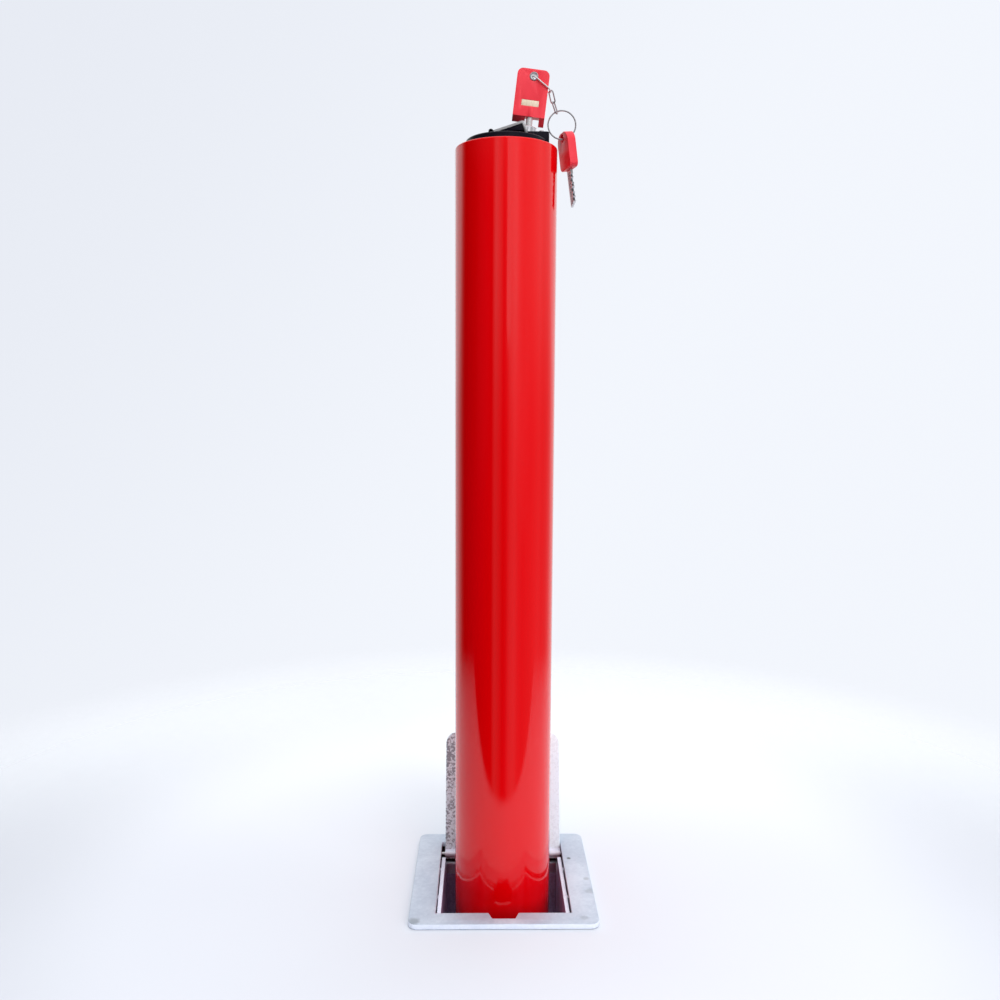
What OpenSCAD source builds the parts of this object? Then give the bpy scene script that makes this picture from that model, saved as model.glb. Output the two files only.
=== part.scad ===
// Telescopic bollard: a round post that slides down into a ground casing under a hinged lid.
// Millimetres, +Z up. The origin is on the post's axis, level with the underside of the flange plate.
// The post is drawn raised, with the lid open behind it and a key in the lock.

/* [Flange plate] */
// Side of the square flange plate
flange_w = 166; // [156:1:200]
// Thickness of the flange plate
flange_t = 5; // [4:0.5:8]
// Radius of the flange plate's corners
flange_r = 8; // [4:1:14]
// Width of the opening that the lid closes
mouth_w = 120; // [118:1:130]
// Length of the opening that the lid closes
mouth_l = 130; // [126:1:140]
// Depth of the finger notch in front of the opening
notch_d = 8.8; // [6:0.2:10]
// Width of the finger notch where it meets the opening
notch_w = 30; // [24:1:40]
// Width of the finger notch at its bottom
notch_base = 20; // [10:1:22]

/* [Casing] */
// Wall of the casing
casing_t = 3.5; // [3:0.5:4]
// Gap between the casing and the edge of the opening
casing_gap = 1; // [0.6:0.1:1.4]
// Height of the casing's edge over the plate's underside
casing_rise = 0.5; // [0.2:0.1:0.5]
// Depth of the cut at the back of the casing, under the plate's underside
back_cut = 14.3; // [12:0.1:18]
// Width of the rear bar
rear_bar_w = 124; // [122:1:130]
// Height of the rear bar
rear_bar_h = 12; // [8:1:20]
// Thickness of the casing's floor plate
floor_t = 6; // [4:1:10]
// Diameter of the drain hole
drain_d = 36; // [20:1:40]
// Height of the rubber buffer
buffer_h = 14; // [8:1:24]
// Thickness of the gussets and anchor lugs
gusset_t = 5; // [4:1:8]
// Reach of the gussets from the casing
gusset_w = 20; // [14:1:22]
// Height of the gussets
gusset_h = 34; // [20:1:50]
// Distance of the front gussets from the middle
gusset_x = 35; // [20:1:45]
// Reach of the anchor lugs from the casing
anchor_w = 40; // [20:1:60]
// Height of the anchor lugs over the casing's foot
anchor_up = 160; // [100:5:300]

/* [Lid] */
// Thickness of the lid
lid_t = 4.5; // [4:0.1:4.5]
// Width of the lid
lid_w = 116; // [112:0.5:116]
// Sideways shift of the lid on its pin
lid_shift = 1.5; // [0:0.1:1.5]
// Gap between the closed lid and the front of the opening
lid_front_gap = 1.6; // [1:0.1:3]
// Gap between the closed lid and the back of the opening
lid_back_gap = 4; // [3.8:0.1:6]
// Radius of the lid's front corners
lid_r = 10.5; // [6:0.5:14]
// Angle that the lid stands open
lid_angle = 105; // [103:0.5:108]
// Distance of the lid's pin from the back of the opening
hinge_back = 9.7; // [9.4:0.1:10]
// Diameter of the lid's pin
hinge_pin_d = 3; // [2.5:0.1:3]
// Thickness of the ears that hold the lid's pin
ear_t = 5; // [4:0.5:6]

/* [Post] */
// Outside diameter of the post tube
tube_d = 88.9; // [86:0.1:90]
// Wall of the post tube
tube_t = 3.2; // [2.6:0.1:4]
// Height of the post over the flange plate's top
post_h = 664; // [560:1:700]
// Depth that the post can be lowered
travel = 696; // [640:1:700]
// Radius of the tube's top edge
rim_r = 1.2; // [0.6:0.1:1.4]
// Depth of the upper guide plate under the flange's underside
guide_z = 76; // [74:1:90]
// Depth of the stop plate under the flange's underside
stop_z = 164; // [150:1:180]
// Thickness of the guide plate and the stop plate
guide_t = 8; // [6:1:10]
// Thickness of the nylon guide ring
guide_ring_t = 4; // [3:0.5:5]
// Thickness of the foot shoe
shoe_t = 12; // [10:1:16]
// Height of the shoe's spigot inside the tube
spigot_h = 12; // [8:1:20]

/* [Top cap] */
// Radius of the cap's raised crown
crown_r = 35.5; // [34:0.1:36]
// Height of the crown over the tube's rim
crown_h = 6.8; // [6:0.1:7.4]
// Height of the lock block over the tube's rim
block_h = 13.5; // [12:0.1:15]
// Half width of the lock block
block_half = 9.5; // [9:0.1:9.6]
// Reach of the lock block to the right of the post's axis
block_x = 36.9; // [35:0.1:37.5]
// Radius of the lock block's right corners
block_r = 3; // [1:0.5:4]
// Depth of the cap inside the tube
cap_depth = 20; // [16:1:24]

/* [Handle] */
// Angle that the handle stands open
handle_angle = 18.5; // [14:0.5:19]
// Length of the handle from its pin
handle_l = 29.5; // [28:0.1:30]
// Width of the handle
handle_w = 10; // [8:0.1:10]
// Thickness of the handle's steel strap
strap_t = 2; // [1.5:0.1:2.2]
// Length of the strap's turned-down end
strap_end = 12.5; // [10:0.1:12.6]
// Diameter of the handle's pin
handle_pin_d = 3; // [2.5:0.1:3.2]

/* [Lock and bolts] */
// Lean of the lock and the key to the right
lock_lean = 6.8; // [5:0.1:7]
// Distance of the lock from the post's axis, at the height of the lock block's top
lock_x = 18.5; // [17.5:0.1:19]
// Diameter of the lock barrel
barrel_d = 15; // [14.5:0.1:15.4]
// Diameter of the lock plug
plug_d = 11; // [10.6:0.1:11.4]
// Diameter of the lock rod
rod_d = 8; // [6:0.5:8]
// Diameter of the two bolts
bolt_d = 10; // [8:0.5:10]
// Distance of each bolt from the post's middle plane
bolt_y = 10; // [10:0.1:10.5]
// Turn of the key between free and locked
key_turn = 45; // [30:1:46]
// Depth of the rod's guide under the top of the rod
rod_guide_down = 34; // [30:1:60]

/* [Keys] */
// Width of the key's head
head_w = 27.8; // [26:0.1:29]
// Height of the key's head
head_h = 39.5; // [36:0.5:44]
// Thickness of the key's head
head_t = 8; // [7:0.1:8.4]
// Radius of the head's upper corners
head_r = 5; // [3:0.1:6]
// Thickness of the key's blade
blade_t = 2.2; // [1.8:0.1:2.4]
// Width of the key's blade
blade_w = 8; // [7:0.1:8]
// Length of the key's blade in the lock
blade_l = 28; // [24:0.5:30]
// Wire diameter of the loop and the chain
wire_d = 1.2; // [1:0.1:1.3]
// Radius of the split ring, to the middle of its wire
ring_r = 12; // [11.5:0.1:12.5]
// Distance of the split ring's middle from the tube's outside
ring_out = 3.75; // [3.5:0.05:4]
// Least distance of the lock block's face from where the chain hangs
block_room = 7.55; // [7.5:0.05:8]
// Height of the split ring's middle over the tube's rim
ring_up = 21.5; // [21:0.1:22]
// Height over the tube's rim at which the two chain links meet
chain_up = 39.6; // [39:0.1:40]
// Width of the spare key's head
spare_w = 24; // [20:0.5:25]
// Height of the spare key's head
spare_h = 33; // [30:0.5:36]
// Thickness of the spare key's head
spare_t = 7.5; // [6:0.1:7.6]

/* [Hidden] */
$fn = 64;
eps = 0.01;
over = 1;
// Running clearance of round fits, and the gap left between pieces that only come near each other
run = 0.05;
gap = 0.3;

// Finishes
red_paint = "#d8141c";
zinc = "#b9c0c8";
black_plastic = "#1b1b1d";
steel = "#c9ccd0";
nylon = "#e6e2d6";
rubber = "#26262a";
red_plastic = "#d21f28";
label_cream = "#d9cfae";

// Casing, worked out from the opening
casing_w = mouth_w - 2 * casing_gap;
casing_l = mouth_l - 2 * casing_gap;
inner_w = casing_w - 2 * casing_t;
inner_l = casing_l - 2 * casing_t;
cut_y = 42;
rear_bar_t = mouth_l / 2 - inner_l / 2;

// Post
tube_r = tube_d / 2;
bore_r = tube_r - tube_t;
rim_z = flange_t + post_h;
shoe_top = -stop_z - guide_t - gap;
casing_depth = -shoe_top + shoe_t + travel + gap + buffer_h;
guide_hole = tube_r + guide_ring_t;

// Lid hinge: the pin is as far under the plate's top as lets the open lid lean on the opening's edge
hinge_y = mouth_l / 2 - hinge_back;
hinge_drop = (hinge_back * sin(lid_angle) - gap) / (1 - cos(lid_angle));
hinge_z = flange_t - hinge_drop;
lid_barrel_r = hinge_drop - lid_t;
ear_drop = 7;
ear_len = 11;

// Lock axis: lock_at is where it meets the height of the lock block's top
lock_at = [lock_x, 0, rim_z + block_h + 0.5];
barrel_top = 5;
barrel_foot = -block_h - 0.5 - cap_depth - 2;
plug_foot = barrel_foot - 4;
plug_top = 5.6;
tang_foot = plug_foot - 7;
tang_mid = (plug_foot + tang_foot) / 2;
rod_x = lock_x + tang_mid * sin(lock_lean);
rod_top = lock_at[2] + plug_foot * cos(lock_lean) - 2.8;
tang_t = 3;
tang_slot = 4.8;
tang_slot_d = 9;

// Bolt work
carrier_top = -58;
carrier_h = 24;
bolt_z = -guide_z + 8;
cam_t = 4;
cam_gap = 0.5;
peg_d = 4;
peg_throw = bolt_y * tan(key_turn / 2);
bolt_travel = 2 * peg_throw;
bolt_tip = sqrt(tube_r * tube_r - pow(bolt_y + bolt_d / 2, 2)) - 0.4;
slot_play = 0.4;

// Where the lock block starts, to the right of the post's axis
block_left = 5;

// Handle, in its own frame: the pin's axis is the origin and the strap lies along +X when folded down
handle_y = -block_half - 0.7 - handle_w / 2;
handle_pin_at = [-13.5, handle_y, rim_z + 9.5];
knuckle_r = 3;
lug_t = 2.2;
grip_x = 8;

// Keys
head_mid = -1.1;
head_foot = 13.2;
collar_top = head_foot + 1;
leg_left = 11;
leg_right = 8.3;
eye_r = 2.6;
eye_wall = 0.7;
eye_at = head_foot + head_h - 6;
label_w = 15.2;
label_h = 5.3;
label_at = head_foot + 11.2;
wire_r = wire_d / 2;

// Hanging pieces: places in the post's own height, counted from the tube's rim
eye_pos = on_lock(head_mid + 0.5, 0, eye_at);
loop_half = head_t / 2 + 1.6;
loop_end = [eye_pos[0] + 14.9, 0, eye_pos[2] - 11.6];
hang_x = max(tube_r, block_x + block_room);
link_mid = [hang_x - ring_out, 0, rim_z + chain_up];
link_turn = 35;
ring_play = 0.5;
ring_at = [hang_x + ring_out, 0, rim_z + ring_up];
ring_top = ring_at + [-5, 0, sqrt(ring_r * ring_r - 25)];
spare_hole = ring_at + ring_r * [0.95 / 3, 0, -0.95];
spare_eye_r = 3.3;
spare_turn = 106;
spare_lean = 6;

// A point in the post's frame from the lock's own frame: u to the right, v to the back, s up the lock axis
function on_lock(u, v, s) = [
    lock_at[0] + u * cos(lock_lean) + s * sin(lock_lean),
    lock_at[1] + v,
    lock_at[2] - u * sin(lock_lean) + s * cos(lock_lean)
];

module along_lock() {
    translate(lock_at) rotate([0, lock_lean, 0]) children();
}

module rounded_plate(w, l, t, r) {
    linear_extrude(height = t) union() {
        square([w - 2 * r, l], center = true);
        square([w, l - 2 * r], center = true);
        for (x = [-1, 1], y = [-1, 1]) translate([x * (w / 2 - r), y * (l / 2 - r)]) circle(r);
    }
}

// Ground part

module flange_plate() {
    color(zinc) difference() {
        rounded_plate(flange_w, flange_w, flange_t, flange_r);
        translate([-mouth_w / 2, -mouth_l / 2, -over]) cube([mouth_w, mouth_l, flange_t + 2 * over]);
        translate([0, 0, -over]) linear_extrude(height = flange_t + 2 * over) polygon([
            [-notch_w / 2, -mouth_l / 2 + over], [-notch_w / 2, -mouth_l / 2],
            [-notch_base / 2, -mouth_l / 2 - notch_d], [notch_base / 2, -mouth_l / 2 - notch_d],
            [notch_w / 2, -mouth_l / 2], [notch_w / 2, -mouth_l / 2 + over]
        ]);
    }
}

module casing() {
    color(zinc) difference() {
        translate([-casing_w / 2, -casing_l / 2, -casing_depth])
            cube([casing_w, casing_l, casing_depth + casing_rise]);
        translate([-inner_w / 2, -inner_l / 2, -casing_depth - over])
            cube([inner_w, inner_l, casing_depth + casing_rise + 2 * over]);
        translate([-casing_w / 2 - over, cut_y, -back_cut])
            cube([casing_w + 2 * over, casing_l, back_cut + casing_rise + over]);
        translate([-casing_w / 2 - over, inner_l / 2 - gap, -back_cut - rear_bar_h])
            cube([casing_w + 2 * over, casing_l, back_cut + rear_bar_h + casing_rise + over]);
    }
}

module rear_bar() {
    color(zinc) translate([-rear_bar_w / 2, inner_l / 2, -back_cut - rear_bar_h])
        cube([rear_bar_w, rear_bar_t, rear_bar_h]);
}

module gusset() {
    rotate([90, 0, 0]) linear_extrude(height = gusset_t, center = true)
        polygon([[0, 0], [gusset_w, 0], [gusset_w, -4], [4, -gusset_h], [0, -gusset_h]]);
}

module gussets() {
    color(zinc) {
        for (y = [-30, 20]) {
            translate([casing_w / 2, y, 0]) gusset();
            translate([-casing_w / 2, y, 0]) rotate([0, 0, 180]) gusset();
        }
        for (x = [-gusset_x, gusset_x]) translate([x, -casing_l / 2, 0]) rotate([0, 0, -90])
            rotate([90, 0, 0]) linear_extrude(height = gusset_t, center = true)
                polygon([[0, 0], [flange_w / 2 - casing_l / 2, 0], [flange_w / 2 - casing_l / 2, -4], [4, -gusset_h], [0, -gusset_h]]);
    }
}

module hinge_ears() {
    color(zinc) for (side = [-1, 1])
        translate([side * (mouth_w / 2 + 1 + ear_t / 2) - ear_t / 2, hinge_y, 0]) difference() {
            translate([0, -ear_len / 2, -ear_drop]) cube([ear_t, ear_len, ear_drop]);
            translate([-over, 0, hinge_z]) rotate([0, 90, 0]) cylinder(d = hinge_pin_d, h = ear_t + 2 * over);
        }
}

module hinge_pin() {
    len = mouth_w + 2 + 2 * ear_t;
    color(steel) translate([-len / 2, hinge_y, hinge_z]) rotate([0, 90, 0]) cylinder(d = hinge_pin_d, h = len);
}

module guide_plate() {
    color(zinc) difference() {
        translate([-inner_w / 2, -inner_l / 2, -guide_z - guide_t]) cube([inner_w, inner_l, guide_t]);
        translate([0, 0, -guide_z - guide_t - over]) cylinder(r = guide_hole, h = guide_t + 2 * over);
    }
}

// Nylon ring with a lip that lies on the guide plate
module guide_ring() {
    color(nylon) rotate_extrude() polygon([
        [tube_r + run, -guide_z - guide_t], [guide_hole, -guide_z - guide_t], [guide_hole, -guide_z],
        [guide_hole + 3, -guide_z], [guide_hole + 3, -guide_z + 2], [tube_r + run, -guide_z + 2]
    ]);
}

module stop_plate() {
    color(zinc) difference() {
        translate([-inner_w / 2, -inner_l / 2, -stop_z - guide_t]) cube([inner_w, inner_l, guide_t]);
        translate([0, 0, -stop_z - guide_t - over]) cylinder(r = tube_r + run, h = guide_t + 2 * over);
    }
}

module casing_floor() {
    color(zinc) translate([0, 0, -casing_depth - floor_t]) difference() {
        translate([-casing_w / 2 - 3, -casing_l / 2 - 3, 0]) cube([casing_w + 6, casing_l + 6, floor_t]);
        translate([0, 0, -over]) cylinder(d = drain_d, h = floor_t + 2 * over);
    }
}

module bottom_buffer() {
    color(rubber) translate([0, 0, -casing_depth]) difference() {
        cylinder(r = tube_r, h = buffer_h);
        translate([0, 0, -over]) cylinder(d = drain_d + 8, h = buffer_h + 2 * over);
    }
}

// Angle lugs welded low on the casing's four walls
module anchor_lugs() {
    lug_h = 40;
    lug_w = 40;
    lug_z = -casing_depth + anchor_up;
    color(zinc) for (a = [0, 90, 180, 270]) rotate([0, 0, a])
        translate([(a % 180 == 0 ? casing_w : casing_l) / 2, -lug_w / 2, lug_z]) union() {
            cube([gusset_t, lug_w, lug_h]);
            cube([anchor_w, lug_w, gusset_t]);
        }
}

// Lid

module lid_open() {
    translate([0, hinge_y, hinge_z]) rotate([-lid_angle, 0, 0]) translate([0, -hinge_y, -hinge_z]) children();
}

module lid() {
    front = -mouth_l / 2 + lid_front_gap;
    back = mouth_l / 2 - lid_back_gap;
    color(zinc) lid_open() translate([lid_shift, 0, flange_t - lid_t]) linear_extrude(height = lid_t) union() {
        translate([-lid_w / 2, front + lid_r]) square([lid_w, back - front - lid_r]);
        translate([-lid_w / 2 + lid_r, front]) square([lid_w - 2 * lid_r, lid_r + over]);
        for (x = [-1, 1]) translate([x * (lid_w / 2 - lid_r), front + lid_r]) circle(lid_r);
    }
}

// Tube round the pin, with the weld that joins it to the lid's underside
module lid_barrel() {
    weld = lid_barrel_r + 1.2;
    color(zinc) lid_open() translate([lid_shift - lid_w / 2, hinge_y, hinge_z]) difference() {
        union() {
            rotate([0, 90, 0]) cylinder(r = lid_barrel_r, h = lid_w);
            rotate([90, 0, 90]) linear_extrude(height = lid_w) polygon([
                [-weld, lid_barrel_r], [-lid_barrel_r * 0.7, lid_barrel_r * 0.7],
                [lid_barrel_r * 0.7, lid_barrel_r * 0.7], [weld, lid_barrel_r]
            ]);
        }
        translate([-over, 0, 0]) rotate([0, 90, 0]) cylinder(d = hinge_pin_d + 2 * run, h = lid_w + 2 * over);
    }
}

// Post

module post_tube() {
    color(red_paint) difference() {
        rotate_extrude() difference() {
            translate([bore_r, shoe_top]) square([tube_t, rim_z - shoe_top]);
            translate([tube_r - rim_r, rim_z - rim_r]) difference() {
                square([rim_r + over, rim_r + over]);
                circle(rim_r, $fn = 32);
            }
        }
        translate([0, bolt_y, bolt_z]) rotate([0, 90, 0]) cylinder(d = bolt_d + 0.4, h = tube_d);
        translate([-tube_d, -bolt_y, bolt_z]) rotate([0, 90, 0]) cylinder(d = bolt_d + 0.4, h = tube_d);
    }
}

// Moulded cap: a plug in the tube, a raised crown, the lock block on the right and the handle's recess in front
module top_cap() {
    fillet = 1.6;
    recess_y = handle_w / 2 + 0.5;
    lug_y = handle_w / 2 + gap;
    color(black_plastic) difference() {
        union() {
            translate([0, 0, rim_z - cap_depth]) cylinder(r = bore_r, h = cap_depth - 0.6);
            translate([0, 0, rim_z]) rotate_extrude() union() {
                translate([0, -1]) square([crown_r, crown_h + 1 - fillet]);
                translate([0, -1]) square([crown_r - fillet, crown_h + 1]);
                translate([crown_r - fillet, crown_h - fillet]) circle(fillet, $fn = 32);
            }
            translate([block_left, 0, rim_z - 1]) linear_extrude(height = block_h + 1) union() {
                translate([0, -block_half]) square([block_x - block_left - block_r, 2 * block_half]);
                translate([0, -block_half + block_r]) square([block_x - block_left, 2 * (block_half - block_r)]);
                for (y = [-1, 1]) translate([block_x - block_left - block_r, y * (block_half - block_r)])
                    circle(block_r, $fn = 32);
            }
            for (side = [-1, 1]) translate([handle_pin_at[0], handle_y + side * (lug_y + lug_t / 2), 0]) union() {
                translate([0, 0, handle_pin_at[2]]) rotate([90, 0, 0])
                    cylinder(r = knuckle_r + 0.4, h = lug_t, center = true);
                translate([-knuckle_r - 0.4, -lug_t / 2, rim_z + crown_h - 1])
                    cube([2 * knuckle_r + 0.8, lug_t, handle_pin_at[2] - rim_z - crown_h + 1]);
            }
        }
        translate([handle_pin_at[0] - 6, handle_y - recess_y, rim_z - 4])
            cube([handle_l + 9, 2 * recess_y, crown_h + 12]);
        translate([handle_pin_at[0], handle_y, handle_pin_at[2]]) rotate([90, 0, 0])
            cylinder(d = handle_pin_d, h = 2 * (lug_y + lug_t) + 2, center = true);
        along_lock() translate([0, 0, barrel_foot]) cylinder(d = barrel_d, h = barrel_top - barrel_foot);
        for (y = [-1, 1]) translate([block_x - 6.6, y * 5.4, rim_z + 4]) cylinder(d = 2.4, h = block_h);
    }
}

module cap_screws() {
    color(steel) for (y = [-1, 1]) translate([block_x - 6.6, y * 5.4, rim_z + block_h]) union() {
        translate([0, 0, -8]) cylinder(d = 2.4, h = 8 + eps);
        difference() {
            cylinder(d1 = 4.6, d2 = 3.2, h = 1.6);
            translate([0, 0, 1.6]) cube([0.7, 5, 1.2], center = true);
            translate([0, 0, 1.6]) cube([5, 0.7, 1.2], center = true);
        }
    }
}

module handle_open() {
    translate(handle_pin_at) rotate([0, -handle_angle, 0]) children();
}

module handle_pin() {
    len = handle_w + 2 * gap + 2 * lug_t;
    color(steel) translate([handle_pin_at[0], handle_y, handle_pin_at[2]]) rotate([90, 0, 0])
        cylinder(d = handle_pin_d, h = len, center = true);
}

// Strap: a knuckle round the pin, a flat top and a turned-down end
module handle_strap() {
    top = 1.5;
    bend = 3;
    color(steel) handle_open() rotate([90, 0, 0]) difference() {
        linear_extrude(height = handle_w, center = true) union() {
            circle(knuckle_r);
            translate([0, top - strap_t]) square([handle_l - bend, strap_t]);
            translate([handle_l - strap_t, top - strap_end]) square([strap_t, strap_end - bend]);
            translate([handle_l - bend, top - bend]) intersection() {
                difference() {
                    circle(bend);
                    circle(bend - strap_t);
                }
                square(bend);
            }
        }
        cylinder(d = handle_pin_d + 2 * run, h = handle_w + 2, center = true);
    }
}

// Moulded wedge under the strap
module handle_grip() {
    under = 1.5 - strap_t;
    end = handle_l - strap_t;
    color(black_plastic) handle_open() rotate([90, 0, 0]) linear_extrude(height = handle_w - 1, center = true)
        difference() {
            polygon([
                [grip_x, under], [end, under], [end, under - (end - grip_x) * tan(handle_angle)],
                [grip_x, under - 0.4]
            ]);
            translate([end - 1, under - 1]) difference() {
                square([over + 1, over + 1]);
                circle(1, $fn = 32);
            }
        }
}

module lock_barrel() {
    color(steel) along_lock() difference() {
        union() {
            translate([0, 0, barrel_foot]) cylinder(d = barrel_d, h = barrel_top - barrel_foot - 1);
            translate([0, 0, barrel_top - 1]) cylinder(d1 = barrel_d, d2 = barrel_d - 2, h = 1);
        }
        translate([0, 0, barrel_foot - over]) cylinder(d = plug_d + 2 * run, h = barrel_top - barrel_foot + 2 * over);
    }
}

// Plug with the keyway, and the tang that turns the rod
module lock_plug() {
    color(steel) along_lock() difference() {
        union() {
            translate([0, 0, plug_foot]) cylinder(d = plug_d, h = plug_top - plug_foot);
            translate([-tang_slot_d / 2, -tang_t / 2, tang_foot]) cube([tang_slot_d, tang_t, plug_foot - tang_foot + eps]);
        }
        translate([-blade_w / 2 - 0.2, -blade_t / 2 - 0.2, plug_top - blade_l - 1])
            cube([blade_w + 0.4, blade_t + 0.4, blade_l + 1 + over]);
    }
}

module rod_guide() {
    color(nylon) translate([0, 0, rod_top - rod_guide_down]) difference() {
        cylinder(r = bore_r, h = 6);
        translate([rod_x, 0, -over]) cylinder(d = rod_d + 2 * run, h = 6 + 2 * over);
        for (a = [60, 180, 300]) rotate([0, 0, a]) translate([26, 0, -over]) cylinder(r = 7, h = 6 + 2 * over);
    }
}

module lock_rod() {
    color(steel) translate([rod_x, 0, 0]) difference() {
        union() {
            translate([0, 0, carrier_top - 14]) cylinder(d = rod_d, h = rod_top - 8 - carrier_top + 14);
            translate([0, 0, rod_top - 18]) cylinder(r = 7.5, h = 18);
        }
        translate([-8, -tang_slot / 2, rod_top - 8]) cube([16, tang_slot, 8 + over]);
    }
}

// Cam pressed on the rod: two arms with slots for the bolts' pegs, turned to the free position
module bolt_cam() {
    slot_r = bolt_y - peg_d / 2 - slot_play;
    slot_end = bolt_y / cos(key_turn / 2) + peg_d / 2 + slot_play;
    color(steel) translate([rod_x, 0, carrier_top + cam_gap]) rotate([0, 0, key_turn / 2]) difference() {
        union() {
            cylinder(r = 7, h = cam_t);
            for (a = [90, -90]) rotate([0, 0, a]) union() {
                translate([0, -4.6, 0]) cube([slot_end - 0.4, 9.2, cam_t]);
                translate([slot_end - 0.4, 0, 0]) cylinder(r = 4.6, h = cam_t);
            }
        }
        translate([0, 0, -over]) cylinder(d = rod_d, h = cam_t + 2 * over);
        for (a = [90, -90]) rotate([0, 0, a]) translate([slot_r, -peg_d / 2 - slot_play / 2, -over])
            cube([slot_end - slot_r, peg_d + slot_play, cam_t + 2 * over]);
    }
}

module bolt_carrier() {
    slot_l = bolt_travel + peg_d + 2 * slot_play;
    color(zinc) difference() {
        translate([0, 0, carrier_top - carrier_h]) cylinder(r = bore_r, h = carrier_h);
        translate([rod_x, 0, carrier_top - 15]) cylinder(d = rod_d + 2 * run, h = 15 + over);
        for (side = [-1, 1]) translate([side > 0 ? -22 : -tube_r, side * bolt_y, bolt_z]) rotate([0, 90, 0])
            cylinder(d = bolt_d + 2 * run, h = tube_r + 22 + (side > 0 ? 0 : 10));
        for (side = [-1, 1]) translate([rod_x - slot_l / 2, side * bolt_y - peg_d / 2 - slot_play, bolt_z])
            cube([slot_l, peg_d + 2 * slot_play, carrier_top - bolt_z + over]);
    }
}

module bolt(tail, tip, peg) {
    rotate([0, 90, 0]) rotate_extrude()
        polygon([[0, tail], [bolt_d / 2, tail], [bolt_d / 2, tip - 1], [bolt_d / 2 - 1, tip], [0, tip]]);
    translate([peg, 0, 0]) cylinder(d = peg_d, h = carrier_top + cam_gap + cam_t - bolt_z - 0.4);
}

module bolt_right() {
    color(steel) translate([0, bolt_y, bolt_z]) bolt(rod_x - peg_throw - 8, bolt_tip, rod_x - peg_throw);
}

module bolt_left() {
    color(steel) translate([0, -bolt_y, bolt_z]) rotate([0, 0, 180])
        bolt(-rod_x - peg_throw - 8, bolt_tip, -rod_x - peg_throw);
}

module foot_plate() {
    color(zinc) translate([0, 0, shoe_top + spigot_h]) difference() {
        cylinder(r = bore_r, h = 8);
        for (a = [45 : 90 : 315]) rotate([0, 0, a]) translate([28, 0, -over]) cylinder(d = 8, h = 8 + 2 * over);
        translate([0, 0, -over]) cylinder(d = 20, h = 8 + 2 * over);
    }
}

module foot_shoe() {
    color(nylon) difference() {
        union() {
            translate([-inner_w / 2 + gap, -inner_l / 2 + gap, shoe_top - shoe_t])
                cube([inner_w - 2 * gap, inner_l - 2 * gap, shoe_t]);
            translate([0, 0, shoe_top - eps]) cylinder(r = bore_r - run, h = spigot_h + eps);
        }
        translate([0, 0, shoe_top - shoe_t - over]) cylinder(d = 20, h = shoe_t + spigot_h + 2 * over);
        for (a = [45 : 90 : 315]) rotate([0, 0, a]) translate([28, 0, shoe_top - shoe_t - over]) union() {
            cylinder(d = 8, h = shoe_t + spigot_h + 2 * over);
            cylinder(d = 14, h = 6.5);
        }
    }
}

module foot_screws() {
    color(steel) for (a = [45 : 90 : 315]) rotate([0, 0, a]) translate([28, 0, shoe_top - shoe_t + 0.5]) difference() {
        union() {
            cylinder(d = 13, h = 5);
            cylinder(d = 8, h = shoe_t + spigot_h + 6);
        }
        translate([0, 0, -over]) cylinder(d = 6.9, h = 3.5, $fn = 6);
    }
}

// Keys

module flat_head(w, h, r) {
    union() {
        translate([-w / 2, 0]) square([w, h - r]);
        translate([-w / 2 + r, 0]) square([w - 2 * r, h]);
        for (x = [-1, 1]) translate([x * (w / 2 - r), h - r]) circle(r, $fn = 32);
    }
}

module upright(t) {
    rotate([90, 0, 0]) linear_extrude(height = t, center = true) children();
}

// Blade with cuts on its right edge, a round collar, and a flat root held in the head
module key_blade() {
    cuts = [[4, 1.4], [8, 2.2], [12, 1.0], [16, 2.4], [20, 1.6]];
    color(steel) along_lock() union() {
        difference() {
            translate([0, 0, plug_top]) upright(blade_t) polygon([
                [-blade_w / 2, 0], [blade_w / 2, 0], [blade_w / 2, -blade_l + 3], [1, -blade_l], [-blade_w / 2, -blade_l + 4]
            ]);
            for (c = cuts) translate([blade_w / 2, 0, plug_top - c[0]]) rotate([0, 45, 0])
                cube([c[1] * 1.4, blade_t + 1, c[1] * 1.4], center = true);
        }
        translate([0, 0, plug_top + 0.2]) cylinder(d = 6, h = collar_top - plug_top - 0.2);
        translate([0, 0, plug_top - eps]) upright(blade_t) translate([-2.8, 0]) square([5.6, 1]);
        translate([0, 0, collar_top - eps]) upright(2) translate([-4, 0]) square([8, 9]);
    }
}

// Foot of the head on one side of the shank, sloping up to the front
module head_leg(w, foot) {
    rotate([90, 0, 90]) linear_extrude(height = w) polygon([
        [-head_t / 2, head_foot + eps], [head_t / 2, head_foot + eps], [head_t / 2, foot], [head_t / 2 - 1.5, foot]
    ]);
}

module key_head() {
    half = head_w / 2;
    color(red_plastic) along_lock() translate([head_mid, 0, 0]) difference() {
        union() {
            translate([0, 0, head_foot]) upright(head_t) flat_head(head_w, head_h, head_r);
            translate([-half, 0, 0]) head_leg(11, leg_left);
            translate([half - 4.6, 0, 0]) head_leg(4.6, leg_right);
        }
        translate([-head_mid, 0, 0]) union() {
            translate([0, 0, head_foot - over]) cylinder(d = 6, h = collar_top - head_foot + over);
            translate([0, 0, collar_top - over]) upright(2) translate([-4, 0]) square([8, 9 + over]);
        }
        translate([0.5, 0, eye_at]) rotate([90, 0, 0]) cylinder(r = eye_r + eye_wall, h = head_t + 2, center = true);
        translate([-label_w / 2, -head_t / 2 - over, label_at - label_h / 2]) cube([label_w, over + 0.8, label_h]);
    }
}

module key_label() {
    color(label_cream) along_lock() translate([head_mid - label_w / 2, -head_t / 2 + 0.2, label_at - label_h / 2])
        cube([label_w, 0.6, label_h]);
}

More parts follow.
